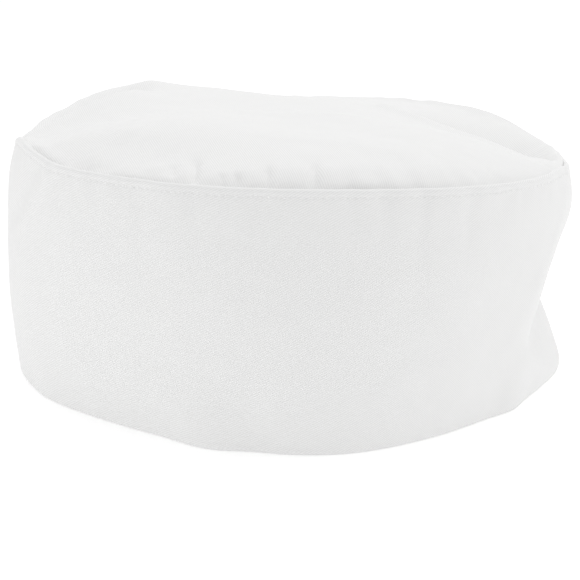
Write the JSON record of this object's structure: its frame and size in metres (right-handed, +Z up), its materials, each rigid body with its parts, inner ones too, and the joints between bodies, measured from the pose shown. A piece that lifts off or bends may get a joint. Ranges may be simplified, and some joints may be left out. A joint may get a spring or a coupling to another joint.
{
  "type": "chef hat",
  "caption": "Soft round chef's beanie: a tall upright cloth band with a low, loose crown sewn inside its upper edge, open below for the head.",
  "frame": {"origin": "middle of the hat at the level of its lower rim, which rests on z = 0", "axes": "+Z up through the crown, -Y towards the front of the hat that the picture shows, +X to the right in the picture"},
  "size_m": [0.1941, 0.1946, 0.0932],
  "materials": {
    "white_twill": "matt white cotton-rich twill",
    "thread": "white spun polyester sewing thread"
  },
  "bodies": {
    "root": {"band": "white_twill", "crown": "white_twill"}
  },
  "joints": []
}
